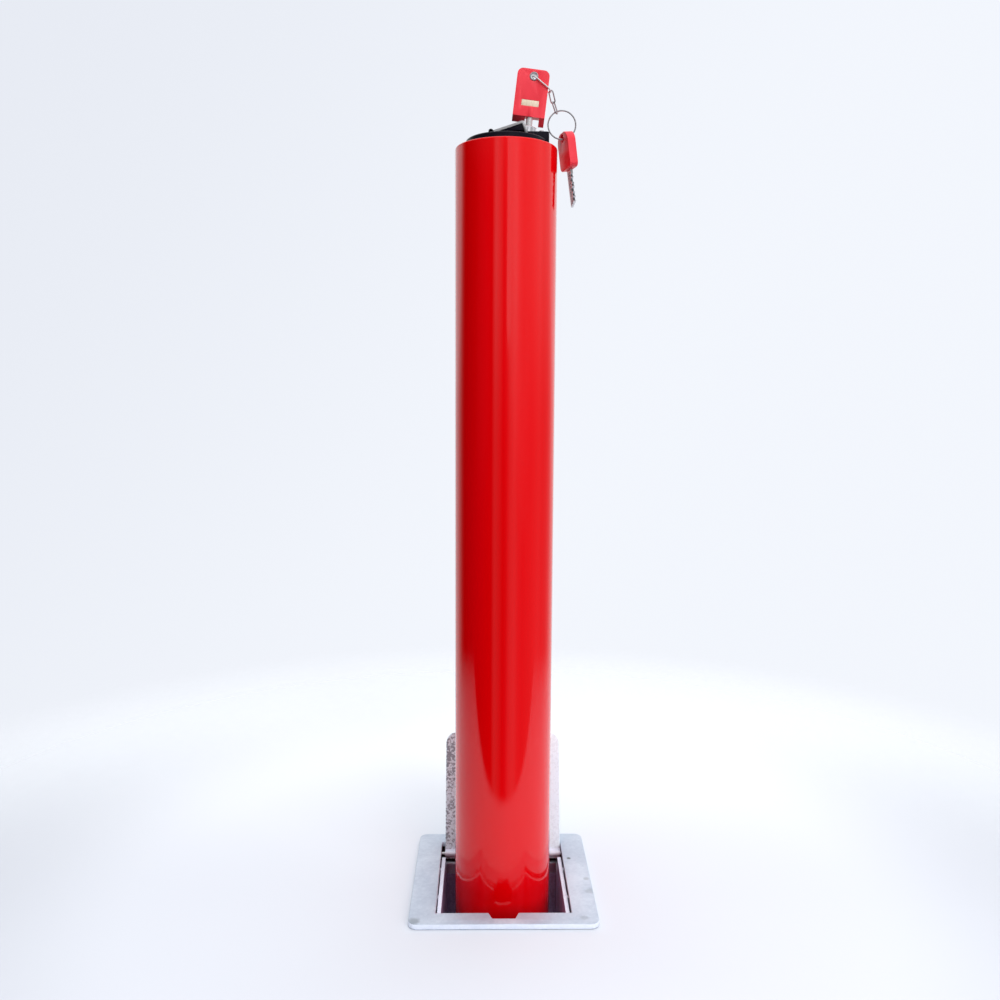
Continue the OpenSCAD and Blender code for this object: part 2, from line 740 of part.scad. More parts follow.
module key_eyelet() {
    color(steel) along_lock() translate([head_mid + 0.5, 0, eye_at]) rotate([90, 0, 0]) rotate_extrude() polygon([
        [eye_r, -head_t / 2 - 0.4], [eye_r + 1.3, -head_t / 2 - 0.4], [eye_r + 1.3, -head_t / 2],
        [eye_r + eye_wall, -head_t / 2], [eye_r + eye_wall, head_t / 2], [eye_r + 1.3, head_t / 2],
        [eye_r + 1.3, head_t / 2 + 0.4], [eye_r, head_t / 2 + 0.4]
    ]);
}

// A loop of wire with straight sides along X and round ends, lying in the XY plane
module wire_loop(length, half) {
    straight = length - 2 * half;
    for (y = [-1, 1]) translate([-straight / 2 - eps, y * half, 0]) rotate([0, 90, 0])
        cylinder(r = wire_r, h = straight + 2 * eps);
    translate([straight / 2, 0, 0]) rotate([0, 0, -90]) rotate_extrude(angle = 180)
        translate([half, 0]) circle(wire_r, $fn = 24);
    translate([-straight / 2, 0, 0]) rotate([0, 0, 90]) rotate_extrude(angle = 180)
        translate([half, 0]) circle(wire_r, $fn = 24);
}

// Puts a loop's middle line from point a to point b, turned about that line
module spanning(a, b, turn) {
    d = b - a;
    yaw = atan2(d[1], d[0]);
    pitch = -atan2(d[2], norm([d[0], d[1]]));
    translate((a + b) / 2) rotate([0, pitch, yaw]) rotate([turn, 0, 0]) children();
}

module wire_link(a, b, turn, half) {
    color(steel) spanning(a, b, turn) wire_loop(norm(b - a), half);
}

// The end of a link that comes from the point toward and is hooked round the wire at place
function hooked(place, toward, play) = place - (wire_d + play) * (toward - place) / norm(toward - place);

module key_loop() {
    wire_link(eye_pos + [-1, 0, 0.8], loop_end, 0, loop_half);
}

module chain_link_upper() {
    wire_link(hooked(loop_end, link_mid, run), link_mid, link_turn - 90, 2);
}

module chain_link_lower() {
    wire_link(hooked(link_mid, ring_top, run), hooked(ring_top, link_mid, ring_play), link_turn, 2);
}

module split_ring() {
    color(steel) translate(ring_at) rotate([90, 0, 0]) rotate_extrude()
        translate([ring_r, 0]) circle(wire_r, $fn = 24);
}

module on_spare() {
    translate(spare_hole) rotate([0, -spare_lean, 0]) rotate([0, 0, spare_turn]) children();
}

module spare_head() {
    color(red_plastic) on_spare() difference() {
        translate([0, 0, 6 - spare_h]) upright(spare_t) flat_head(spare_w, spare_h, head_r);
        rotate([90, 0, 0]) cylinder(r = spare_eye_r, h = spare_t + 2, center = true);
        translate([0, 0, 6 - spare_h - over]) upright(blade_t) translate([-4, 0]) square([8, 9 + over]);
    }
}

module spare_blade() {
    foot = 6 - spare_h;
    color(steel) on_spare() difference() {
        union() {
            translate([0, 0, foot - eps]) upright(blade_t) translate([-4, 0]) square([8, 9]);
            translate([0, 0, foot]) upright(blade_t) polygon([
                [-blade_w / 2, 0], [blade_w / 2, 0], [blade_w / 2, -blade_l - 1], [1, -blade_l - 4], [-blade_w / 2, -blade_l]
            ]);
        }
        for (c = [[6, 1.4], [10, 2.2], [14, 1.0], [18, 2.4], [22, 1.6], [26, 2]])
            translate([-blade_w / 2, 0, foot - c[0]]) rotate([0, 45, 0])
                cube([c[1] * 1.4, blade_t + 1, c[1] * 1.4], center = true);
    }
}

flange_plate();
casing();
gussets();
rear_bar();
hinge_ears();
hinge_pin();
guide_plate();
guide_ring();
stop_plate();
casing_floor();
bottom_buffer();
anchor_lugs();
lid();
lid_barrel();
post_tube();
top_cap();
cap_screws();
handle_pin();
handle_strap();
handle_grip();
lock_barrel();
lock_plug();
rod_guide();
lock_rod();
bolt_cam();
bolt_carrier();
bolt_right();
bolt_left();
foot_plate();
foot_shoe();
foot_screws();
key_blade();
key_head();
key_label();
key_eyelet();
key_loop();
chain_link_upper();
chain_link_lower();
split_ring();
spare_blade();
spare_head();
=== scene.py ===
import math

import bmesh
import bpy
from mathutils import Matrix, Vector


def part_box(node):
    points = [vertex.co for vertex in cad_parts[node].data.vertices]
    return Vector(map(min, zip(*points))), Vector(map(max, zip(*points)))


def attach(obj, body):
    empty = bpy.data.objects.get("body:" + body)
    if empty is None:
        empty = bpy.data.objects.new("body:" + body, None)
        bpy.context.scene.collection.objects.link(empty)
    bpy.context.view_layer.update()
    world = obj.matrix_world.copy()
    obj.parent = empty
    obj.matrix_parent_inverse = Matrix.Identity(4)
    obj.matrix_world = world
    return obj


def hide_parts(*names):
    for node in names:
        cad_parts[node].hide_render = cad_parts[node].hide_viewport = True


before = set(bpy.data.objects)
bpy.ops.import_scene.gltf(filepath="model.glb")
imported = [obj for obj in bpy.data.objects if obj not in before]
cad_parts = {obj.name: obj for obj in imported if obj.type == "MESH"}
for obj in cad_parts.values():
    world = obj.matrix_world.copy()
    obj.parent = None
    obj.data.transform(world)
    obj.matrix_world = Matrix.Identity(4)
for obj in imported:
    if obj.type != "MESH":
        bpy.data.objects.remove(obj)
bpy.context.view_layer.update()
MM = 0.001
scene = bpy.context.scene


# Camera: it stands in front of the post at the height of its upper half and looks slightly down,
# as the photograph was taken.
LENS_PIXELS, PHOTO_PIXELS, SENSOR = 922.25, 1000, 36
EYE = Vector((-17.22, -830.81, 454.85)) * MM
PITCH, YAW, ROLL = math.radians(6.3225), math.radians(0.9172), math.radians(0.2864)
forward = Vector((math.sin(YAW) * math.cos(PITCH), math.cos(YAW) * math.cos(PITCH), -math.sin(PITCH)))
level = Vector((math.cos(YAW), -math.sin(YAW), 0))
upward = level.cross(forward)
across = level * math.cos(ROLL) + upward * math.sin(ROLL)
upright = upward * math.cos(ROLL) - level * math.sin(ROLL)
camera = bpy.data.objects.new("camera", bpy.data.cameras.new("camera"))
scene.collection.objects.link(camera)
camera.data.sensor_width = SENSOR
camera.data.lens = LENS_PIXELS * SENSOR / PHOTO_PIXELS
turned = Matrix((across, upright, -forward)).transposed().to_4x4()
camera.matrix_world = Matrix.Translation(EYE) @ turned
scene.camera = camera
scene.view_settings.view_transform = "Standard"
scene.view_settings.look = "None"


# Studio: a white sweep lit by large soft lights. The post's gloss shows a dark wing on its left,
# soft panels in front and the white wall behind, so these are in the world that the surfaces see.
class Value:
    """A shader socket that takes part in Python sums."""

    def __init__(self, tree, socket):
        self.tree, self.socket = tree, socket

    def node(self, kind, settings=None, inputs=None, output=0):
        made = self.tree.nodes.new(kind)
        for key, value in (settings or {}).items():
            if key == "stops":
                ramp = made.color_ramp
                while len(ramp.elements) < len(value):
                    ramp.elements.new(0.5)
                for stop, (place, grey) in zip(ramp.elements, value):
                    stop.position = place
                    stop.color = (grey, grey, grey, 1)
            else:
                setattr(made, key, value)
        for key, value in (inputs or {}).items():
            if isinstance(value, Value):
                self.tree.links.new(value.socket, made.inputs[key])
            else:
                made.inputs[key].default_value = value
        return Value(self.tree, made.outputs[output] if made.outputs else None)

    def maths(self, operation, *values):
        return self.node("ShaderNodeMath", {"operation": operation}, dict(enumerate(values)))

    def __add__(self, other):
        return self.maths("ADD", self, other)

    def __sub__(self, other):
        return self.maths("SUBTRACT", self, other)

    def __rsub__(self, other):
        return self.maths("SUBTRACT", other, self)

    def __mul__(self, other):
        return self.maths("MULTIPLY", self, other)

    def __truediv__(self, other):
        return self.maths("DIVIDE", self, other)

    __radd__ = __add__
    __rmul__ = __mul__

    def step(self, low, high):
        """0 below low, 1 above high, smooth between."""
        return self.node("ShaderNodeMapRange", {"interpolation_type": "SMOOTHSTEP"},
                         {"Value": self, "From Min": low, "From Max": high})

    def mix(self, low, high):
        """Colour low where this is 0, high where it is 1."""
        def full(colour):
            return colour if isinstance(colour, Value) else (*colour, 1)

        ends = {0: self, 6: full(low), 7: full(high)}
        return self.node("ShaderNodeMix", {"data_type": "RGBA"}, ends, output=2)


world = bpy.data.worlds.new("studio")
scene.world = world
world.use_nodes = True
world.node_tree.nodes.clear()
sky = Value(world.node_tree, None)
toward = sky.node("ShaderNodeTexCoord", output=0)
side = sky.node("ShaderNodeSeparateXYZ", None, {0: toward}, output=0)
depth = sky.node("ShaderNodeSeparateXYZ", None, {0: toward}, output=1)
height = sky.node("ShaderNodeSeparateXYZ", None, {0: toward}, output=2)
azimuth = sky.maths("ARCTAN2", side, depth * -1) * (180 / math.pi)
# Brightness by direction in degrees: 0 is the front, 90 the right
PANELS = [(-180, 1.0), (-142, 0.85), (-130, 0.62), (-114, 0.07), (-106, 0.0), (-40, 0.0), (-31, 0.0),
          (-23, 0.30), (-13, 0.16), (-5, 0.02), (3, 0.06), (12, 0.34), (23, 0.42), (32, 0.22), (42, 0.15),
          (62, 0.22), (84, 0.33), (97, 0.24), (112, 0.26), (124, 0.42), (134, 0.75), (155, 1.0), (180, 1.0)]
panel_light = sky.node("ShaderNodeValToRGB", {"stops": [(a / 360 + 0.5, v) for a, v in PANELS]},
                       {0: azimuth / 360 + 0.5})
panel_light = panel_light * (1 + height.step(0, 0.32) * 1.5)
streak = height.step(0.16, 0.24) * azimuth.step(1, 5) * (1 - azimuth.step(8, 12))
panel_light = panel_light + streak * 2.6
ceiling = height.step(0.35, 0.75)
seen_by_gloss = panel_light * (1 - ceiling) + ceiling
# Painted shade: the wall that the camera sees darkens towards its upper left.
backdrop_shade = (side * -1 + height * 0.6).step(-0.2, 0.75)
wall = backdrop_shade.mix((0.895, 0.925, 0.985), (0.80, 0.83, 0.90))
lit = sky.node("ShaderNodeMix", {"data_type": "RGBA", "blend_type": "MULTIPLY"},
               {0: 1.0, 6: seen_by_gloss.mix((0, 0, 0), (1, 1, 1)), 7: (0.97, 0.98, 1.0, 1)}, output=2)
for_camera = sky.node("ShaderNodeLightPath", output=0)
shown = sky.node("ShaderNodeMix", {"data_type": "RGBA"}, {0: for_camera, 6: lit, 7: wall}, output=2)
background = sky.node("ShaderNodeBackground", None, {0: shown, 1: 1.0})
sky.node("ShaderNodeOutputWorld", None, {0: background})


def soft_light(name, place, aim, size, power):
    """A square soft light that faces aim, in metres and watts, and isn't mirrored in the gloss."""
    light = bpy.data.lights.new(name, "AREA")
    light.size, light.energy = size, power
    made = bpy.data.objects.new(name, light)
    scene.collection.objects.link(made)
    made.location = place
    made.rotation_euler = (Vector(aim) - Vector(place)).to_track_quat("-Z", "Y").to_euler()
    made.visible_glossy = False


soft_light("right_panel", (1.1, -1.7, 1.0), (0, 0, 0.35), 1.4, 16)
soft_light("front_panel", (0.2, -1.1, 1.7), (0, 0.06, 0), 0.8, 8)
soft_light("left_panel", (-1.6, -1.2, 0.9), (0, 0, 0.3), 1.2, 3)
soft_light("low_panel", (0.9, -0.95, 0.45), (0.05, 0.08, 0.06), 0.5, 2.2)
soft_light("top_panel", (0, 0.3, 2.2), (0, 0, 0), 2.0, 13)
soft_light("floor_wash", (0.6, 1.6, 1.4), (0, 0, 0), 1.6, 7)


# Floor: a pale sweep at the height of the flange plate's underside, with the pit that the casing
# stands in. It fades out where the sweep meets the wall.
def material(name, **sockets):
    """A new material, its Principled BSDF, and a Value to start its sums from."""
    made = bpy.data.materials.new(name)
    made.use_nodes = True
    shader = made.node_tree.nodes["Principled BSDF"]
    start = Value(made.node_tree, None)
    for key, value in sockets.items():
        key = key.replace("_", " ")
        if isinstance(value, tuple):
            value = (*value, 1)
        shader.inputs[key].default_value = value
    return made, shader, start


def feed(start, shader, **sockets):
    """Links worked-out values to the shader's sockets of these names."""
    for key, value in sockets.items():
        start.tree.links.new(value.socket, shader.inputs[key.replace("_", " ")])


def nothing_selected():
    """Leaves edit mode and deselects everything."""
    if bpy.context.object and bpy.context.object.mode != "OBJECT":
        bpy.ops.object.mode_set(mode="OBJECT")
    bpy.ops.object.select_all(action="DESELECT")


def settled(piece):
    """Puts the piece's place into its mesh."""
    nothing_selected()
    piece.select_set(True)
    bpy.context.view_layer.objects.active = piece
    bpy.ops.object.transform_apply(location=True, rotation=True, scale=True)
    return piece


def block(name, low, high):
    """A box between two corners, in millimetres."""
    nothing_selected()
    middle = [(a + b) / 2 * MM for a, b in zip(low, high)]
    bpy.ops.mesh.primitive_cube_add(size=1, location=middle)
    made = bpy.context.object
    made.name = made.data.name = name
    made.scale = [(b - a) * MM for a, b in zip(low, high)]
    return settled(made)


def applied(piece, kind, **settings):
    """Adds a modifier with its settings and applies it."""
    nothing_selected()
    piece.select_set(True)
    bpy.context.view_layer.objects.active = piece
    made = piece.modifiers.new(kind.lower(), kind)
    for key, value in settings.items():
        setattr(made, key, value)
    bpy.ops.object.modifier_apply(modifier=made.name)
    return piece


def cut(piece, *cutters, operation="DIFFERENCE"):
    """Takes the cutters out of the piece, or joins them on with UNION, and removes them."""
    for cutter in cutters:
        applied(piece, "BOOLEAN", operation=operation, object=cutter, solver="EXACT")
        bpy.data.objects.remove(cutter, do_unlink=True)
    return piece


def edited(piece, pick, action, mode="FACE"):
    """Selects the items that pick(...) accepts and runs action() on them in edit mode."""
    nothing_selected()
    piece.select_set(True)
    bpy.context.view_layer.objects.active = piece
    bpy.ops.object.mode_set(mode="EDIT")
    bpy.ops.mesh.select_mode(type=mode)
    bpy.ops.mesh.select_all(action="DESELECT")
    mesh = bmesh.from_edit_mesh(piece.data)
    for item in {"FACE": mesh.faces, "EDGE": mesh.edges, "VERT": mesh.verts}[mode]:
        if pick(item):
            item.select = True
    mesh.select_flush_mode()
    bmesh.update_edit_mesh(piece.data)
    action()
    bpy.ops.object.mode_set(mode="OBJECT")


FLOOR_REACH, FLOOR_FADE = 0.86, 0.32
nothing_selected()
bpy.ops.mesh.primitive_circle_add(vertices=96, radius=FLOOR_REACH, fill_type="NGON")
floor = settled(bpy.context.object)
floor.name = "floor"
FLOOR_TOP, FLOOR_T = -0.25, 0.3
PIT_X, PIT_Y, PIT_TOP, PIT_DEPTH, PIT_MOUTH = 112, 117, -0.6, 960, 79
pit = block("pit", (-PIT_X, -PIT_Y, -PIT_DEPTH), (PIT_X, PIT_Y, PIT_TOP))
pit_mouth = block("pit_mouth", (-PIT_MOUTH, -PIT_MOUTH, -10), (PIT_MOUTH, PIT_MOUTH, 10))
floor.location.z = FLOOR_TOP * MM
settled(floor)
applied(floor, "SOLIDIFY", thickness=FLOOR_T * MM, offset=-1)
cut(floor, pit_mouth)
edited(pit, lambda f: f.normal.z > 0.9, lambda: bpy.ops.mesh.delete(type="FACE"))
sweep, sweep_shader, s = material("sweep", Roughness=0.75, Specular_IOR_Level=0.15)
place = s.node("ShaderNodeTexCoord", output=3)
x, y = (s.node("ShaderNodeSeparateXYZ", None, {0: place}, output=i) for i in (0, 1))
reach = s.maths("SQRT", x * x + y * y)
# Painted shade: the sweep is darker in front of the post and lighter behind it.
floor_shade = y.step(-0.05, 0.5).mix((0.62, 0.645, 0.70), (0.84, 0.87, 0.91))
cover = (1 - reach.step(FLOOR_FADE, FLOOR_REACH)) * y.step(-0.235, -0.205)
feed(s, sweep_shader, Base_Color=floor_shade, Alpha=cover)
floor.data.materials.append(sweep)
# Painted shade: the pit's walls are dark grey, standing in for the shade deep inside the opening.
pit_shade = material("pit_walls", Base_Color=(0.20, 0.19, 0.22), Roughness=0.9)[0]
pit.data.materials.append(pit_shade)


# Flange plate: 5 mm steel, laser cut with rounded corners, a square opening and a finger notch, then
# hot-dip galvanised, which leaves it blue-grey and clouded with a slightly rounded edge.
def galvanised(name, light, dark, metal=0.3, scale=1.0, specks=0.0, drawn=1.0, marks=()):
    """Zinc coat: cloudy blue-grey metal. It can have dark specks, denser on the left, where they also paint
    the shade on that side, and smudges: marks holds the x, y and radius of each in millimetres, and its
    strength."""
    made, shader, s = material(name, Metallic=metal, Specular_IOR_Level=0.5)
    place = s.node("ShaderNodeTexCoord", output=3)
    pulled = s.node("ShaderNodeMapping", None, {"Vector": place, "Scale": (1, 1, drawn)})
    cloud = s.node("ShaderNodeTexNoise", None,
                   {"Vector": pulled, "Scale": 22 * scale, "Detail": 5, "Roughness": 0.6})
    fine = s.node("ShaderNodeTexNoise", None,
                  {"Vector": place, "Scale": 260 * scale, "Detail": 6, "Roughness": 0.7})
    colour = (cloud * 0.75 + fine * 0.35 - 0.05).step(0.32, 0.72).mix(dark, light)
    rough = 0.34 + cloud * 0.22
    bump = fine * 0.5 + cloud * 0.5
    if specks:
        flakes = s.node("ShaderNodeTexNoise", None,
                        {"Vector": place, "Scale": 380, "Detail": 3, "Roughness": 0.65})
        x = s.node("ShaderNodeSeparateXYZ", None, {0: place}, output=0)
        # Painted shade, in part: the specks thin out towards +x, so the left side comes out darker.
        specks_and_shade = (flakes + cloud * 0.3).step(0.61, 0.74) * (1 - x.step(-0.03, 0.03) * 0.85) * specks
        colour = specks_and_shade.mix(colour, (0.20, 0.22, 0.27))
        bump = bump + specks_and_shade
    for mx, my, radius, strength in marks:
        far = s.node("ShaderNodeVectorMath", {"operation": "DISTANCE"},
                     {0: place, 1: (mx * MM, my * MM, PLATE_T * MM)}, output=1)
        smudge = 1 - (far + (fine - 0.5) * (0.8 * radius * MM)).step(0.35 * radius * MM, radius * MM)
        colour = (smudge * strength).mix(colour, (0.12, 0.14, 0.14))
    raised = s.node("ShaderNodeBump", None, {"Strength": 0.12, "Distance": 0.0006, "Height": bump})
    feed(s, shader, Base_Color=colour, Roughness=rough, Normal=raised)
    return made


def smooth(piece, angle=35):
    """Shades the piece smooth, apart from edges sharper than angle."""
    nothing_selected()
    piece.select_set(True)
    bpy.context.view_layer.objects.active = piece
    bpy.ops.object.shade_smooth_by_angle(angle=math.radians(angle))
    return piece


def rounded(piece, width, segments=3, angle=40):
    """Breaks the piece's sharp edges, width in millimetres."""
    applied(piece, "BEVEL", width=width * MM, segments=segments, limit_method="ANGLE",
            angle_limit=math.radians(angle))
    return smooth(piece)


def dress(piece, body, finish, slot, *nodes):
    """Gives a finished piece its material and its body, and hides the CAD nodes it stands for; slot is not
    used.
    """
    piece.data.materials.clear()
    piece.data.materials.append(finish)
    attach(piece, body)
    if nodes:
        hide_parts(*nodes)
    return piece


PLATE_HALF, PLATE_T, PLATE_CORNER, MOUTH_X, MOUTH_Y = 83, 5, 8, 60, 65
NOTCH_W, NOTCH_FRONT_W, NOTCH_FRONT, NOTCH_BACK = 30, 20, -73.8, -60
zinc_plate = galvanised("zinc_plate", (0.58, 0.64, 0.73), (0.40, 0.46, 0.56), marks=(
    (66, 31, 2.6, 0.9), (-78, -78, 7, 0.45), (80, -30, 6, 0.25), (79, -8, 4, 0.3), (70, -74, 5, 0.25)))
plate = block("plate", (-PLATE_HALF, -PLATE_HALF, 0), (PLATE_HALF, PLATE_HALF, PLATE_T))
edited(plate, lambda e: abs(e.verts[0].co.z - e.verts[1].co.z) > MM,
       lambda: bpy.ops.mesh.bevel(offset=PLATE_CORNER * MM, segments=10), "EDGE")
mouth = block("mouth", (-MOUTH_X, -MOUTH_Y, -9), (MOUTH_X, MOUTH_Y, 14))
notch = block("notch", (-NOTCH_W / 2, NOTCH_FRONT, -9), (NOTCH_W / 2, NOTCH_BACK, 14))
edited(notch, lambda v: v.co.y < -70 * MM,
       lambda: bpy.ops.transform.resize(value=(NOTCH_FRONT_W / NOTCH_W, 1, 1)), "VERT")
cut(plate, notch, mouth)
rounded(plate, 0.7, 3, 50)
dress(plate, "ground", zinc_plate, "zinc", "flange_plate")
# Painted highlight: the plate's edge faces, the casing's top and the hinge tube take this lighter copy of the
# zinc, for the light that catches them.
zinc_highlight = galvanised("zinc_highlight", (0.80, 0.85, 0.96), (0.68, 0.73, 0.86), 0.1, 1.5)
# Painted shadow: the opening's right wall takes a dark, ragged copy of the zinc for the shadow in the gap
# beside the casing, ragged like the weld there.
zinc_gap_shadow = galvanised("zinc_gap_shadow", (0.40, 0.42, 0.55), (0.03, 0.03, 0.05), 0.2, 9)
plate.data.materials.append(zinc_highlight)
plate.data.materials.append(zinc_gap_shadow)
for face in plate.data.polygons:
    if abs(face.normal.z) < 0.4:
        right_of_mouth = face.normal.x < -0.9 and abs(face.center.x - MOUTH_X * MM) < MM
        face.material_index = 2 if right_of_mouth else 1


# Casing: four walls of 3.5 mm steel welded into a square sleeve, whose upper edge shows inside the
# opening as a bright strip, a painted highlight in a lighter copy of the zinc; a darker copy paints the
# shade on its walls. It is cut down in front for a finger, and at the back, where a flat bar stiffens it.
def paint(finish, *nodes):
    """Gives a finish to CAD nodes that show as they are."""
    for node in nodes:
        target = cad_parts[node]
        target.data.materials.clear()
        target.data.materials.append(finish)
        for slot in target.material_slots:
            slot.material = finish


# Painted shade: the sleeve's walls take a darker, violet copy of the zinc, and its cloud, drawn out upright,
# paints pale streaks of light down them.
zinc_wall_shade = galvanised("zinc_wall_shade", (0.48, 0.40, 0.62), (0.16, 0.11, 0.24), 0.2, 1.6, drawn=0.06)
casing_low, casing_high = (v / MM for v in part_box("casing"))
casing = block("casing_sleeve", casing_low, casing_high)
BORE_X, BORE_Y = 55.5, 60.5
SIDE_CUT_Y, SIDE_CUT_Z, REAR_CUT_Y, REAR_CUT_Z = 42, -14.3, 60.2, -26.3
FINGER_CUT_X, FINGER_CUT_Z = 15.5, -12
bore = block("bore", (-BORE_X, -BORE_Y, casing_low[2] - 5), (BORE_X, BORE_Y, 5))
side_cut = block("side_cut", (-70, SIDE_CUT_Y, SIDE_CUT_Z), (70, 80, 5))
rear_cut = block("rear_cut", (-70, REAR_CUT_Y, REAR_CUT_Z), (70, 80, 5))
finger_cut = block("finger_cut", (-FINGER_CUT_X, -70, FINGER_CUT_Z), (FINGER_CUT_X, -60, 5))
cut(casing, bore, side_cut, rear_cut, finger_cut)
rounded(casing, 0.35, 2, 50)
dress(casing, "ground", zinc_wall_shade, "zinc", "casing")
casing.data.materials.append(zinc_highlight)
for face in casing.data.polygons:
    if face.center.z > -15 * MM and face.normal.z > 0.5:
        face.material_index = 1
bar_low, bar_high = (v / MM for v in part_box("rear_bar"))
bar = block("rear_flat", bar_low, bar_high)
BAR_ROUND = 2.4
edited(bar, lambda e: all(v.co.y < 61 * MM and v.co.z > -15 * MM for v in e.verts),
       lambda: bpy.ops.mesh.bevel(offset=BAR_ROUND * MM, segments=5), "EDGE")
# Painted highlight: the flat bar takes a near-white copy of the zinc, for the lit strip of its top in the
# opening.
zinc_bar_highlight = galvanised("zinc_bar_highlight", (0.90, 0.91, 0.97), (0.78, 0.80, 0.88), 1.0, 1.5)
dress(rounded(bar, 0.4, 2, 50), "ground", zinc_bar_highlight, "zinc", "rear_bar")
paint(zinc_plate, "gussets", "hinge_ears", "anchor_lugs", "casing_floor", "guide_plate", "stop_plate")
rubber = material("rubber", Base_Color=(0.03, 0.03, 0.032), Roughness=0.8)[0]
paint(rubber, "bottom_buffer")
nylon = material("nylon", Base_Color=(0.80, 0.78, 0.72), Roughness=0.45)[0]
paint(nylon, "guide_ring", "foot_shoe", "rod_guide")


# Lid: a 4.5 mm galvanised plate with two rounded corners, welded along a hinge tube. It stands open
# behind the post, leaning back a little.
LID_ANGLE = math.radians(105)
LID_LEFT, LID_RIGHT, LID_FRONT, LID_BACK, LID_UNDER, LID_CORNER = -56.5, 59.5, -63.4, 61, 0.5, 10.5
HINGE_Y, HINGE_Z = 55.3, -2.204753
# Painted light: the lid takes a lighter, near-white copy of the zinc for the light on its face, and its dark
# specks crowd on the left, where they also paint the shade on that side.
zinc_lid_lit = galvanised("zinc_lid_lit", (0.84, 0.93, 1.0), (0.74, 0.83, 0.92), 0.0, 1.2, specks=0.85)
lid = block("lid_plate", (LID_LEFT, LID_FRONT, LID_UNDER), (LID_RIGHT, LID_BACK, PLATE_T))
edited(lid, lambda e: abs(e.verts[0].co.z - e.verts[1].co.z) > MM and e.verts[0].co.y < 0,
       lambda: bpy.ops.mesh.bevel(offset=LID_CORNER * MM, segments=10), "EDGE")
rounded(lid, 0.7, 3, 50)


def opened(piece):
    """Turns a piece modelled in the closed lid's place about the hinge pin."""
    pin = Vector((0, HINGE_Y, HINGE_Z)) * MM
    swing = Matrix.Rotation(-LID_ANGLE, 4, "X")
    piece.data.transform(Matrix.Translation(pin) @ swing @ Matrix.Translation(-pin))
    return piece


def noise(start, scale, detail):
    """Even noise through the whole piece."""
    place = start.node("ShaderNodeTexCoord", output=3)
    return start.node("ShaderNodeTexNoise", None, {"Vector": place, "Scale": scale, "Detail": detail})


dress(opened(lid), "lid", zinc_lid_lit, "zinc", "lid")
paint(zinc_highlight, "lid_barrel")
bright_steel, bright_shader, s = material("bright_steel", Base_Color=(0.62, 0.62, 0.64), Metallic=1.0)
feed(s, bright_shader, Roughness=0.2 + noise(s, 900, 4) * 0.25)
paint(bright_steel, "hinge_pin", "handle_pin", "lock_rod", "bolt_cam", "bolt_right", "bolt_left",
      "foot_screws")
paint(zinc_plate, "bolt_carrier", "foot_plate")


# Post: an 88.9 mm steel tube with a 3.2 mm wall, powder coated in a glossy signal red. Its cut edge
# is rounded under the paint.
def drum(name, radius, low, high, place=(0, 0), sides=96):
    """An upright cylinder, in millimetres."""
    nothing_selected()
    bpy.ops.mesh.primitive_cylinder_add(vertices=sides, radius=radius * MM, depth=(high - low) * MM,
                                        location=(place[0] * MM, place[1] * MM, (low + high) / 2 * MM))
    made = bpy.context.object
    made.name = made.data.name = name
    return settled(made)


red_gloss, red_shader, s = material("red_gloss", IOR=1.5)
place = s.node("ShaderNodeTexCoord", output=3)
stretched = s.node("ShaderNodeMapping", None, {"Vector": place, "Scale": (1, 1, 0.06)})
waves = s.node("ShaderNodeTexNoise", None, {"Vector": stretched, "Scale": 34, "Detail": 2})
peel = s.node("ShaderNodeTexNoise", None, {"Vector": place, "Scale": 420, "Detail": 2})
bumps = s.node("ShaderNodeBump", None,
               {"Strength": 0.10, "Distance": 0.0012, "Height": waves + peel * 0.012})
feed(s, red_shader, Normal=bumps, Roughness=0.06 + peel * 0.05,
     Base_Color=waves.step(0.3, 0.7).mix((0.73, 0.0, 0.001), (0.77, 0.0, 0.003)))
TUBE_R, WALL, RIM_Z, RIM_ROUND = 44.45, 3.2, 669, 1.1
BOLT_HOLE_R, BOLT_Z, BOLT_Y = 5.2, -68, 10
foot_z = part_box("post_tube")[0][2] / MM
tube = drum("tube", TUBE_R, foot_z, RIM_Z, sides=192)
edited(tube, lambda f: abs(f.normal.z) > 0.9, lambda: bpy.ops.mesh.inset(thickness=WALL * MM))
edited(tube, lambda f: abs(f.normal.z) > 0.9 and len(f.verts) > 4, lambda: bpy.ops.mesh.bridge_edge_loops())
edited(tube, lambda e: abs(e.verts[0].co.z - e.verts[1].co.z) < MM / 10 and e.calc_face_angle(0) > 1,
       lambda: bpy.ops.mesh.bevel(offset=RIM_ROUND * MM, segments=4), "EDGE")
for side in (1, -1):
    nothing_selected()
    bpy.ops.mesh.primitive_cylinder_add(
        vertices=32, radius=BOLT_HOLE_R * MM, depth=30 * MM, rotation=(0, math.pi / 2, 0),
        location=(side * 44 * MM, side * BOLT_Y * MM, BOLT_Z * MM))
    cut(tube, settled(bpy.context.object))
smooth(tube, 30)
dress(tube, "post", red_gloss, "red_paint", "post_tube")


# Cap: one black moulding pressed into the tube. It has a raised crown, a block for the lock on its
# right and, in front, a recess between two lugs for the folding handle.
black, black_shader, s = material("black_moulding", Base_Color=(0.004, 0.003, 0.008), Specular_IOR_Level=0.14)
grain = noise(s, 900, 4)
fine = s.node("ShaderNodeBump", None, {"Strength": 0.2, "Distance": 0.0003, "Height": grain})
feed(s, black_shader, Normal=fine, Roughness=0.16 + grain * 0.25)
CROWN_R, CROWN_H, CROWN_ROUND, CAP_PLUG_R, CAP_PLUG_L = 35.5, 6.8, 1.6, 41.2, 20
BLOCK_LEFT, BLOCK_RIGHT, BLOCK_SIDE, BLOCK_H, BLOCK_ROUND = 5, 36.9, 9.5, 13.5, 3
LUG_R, LUG_HALF, LUG_OUT = 2.1, 1.1, 6.4
RECESS_BACK, RECESS_L, RECESS_SIDE = 6, 32.5, 5.5
BARREL_R = 7.5
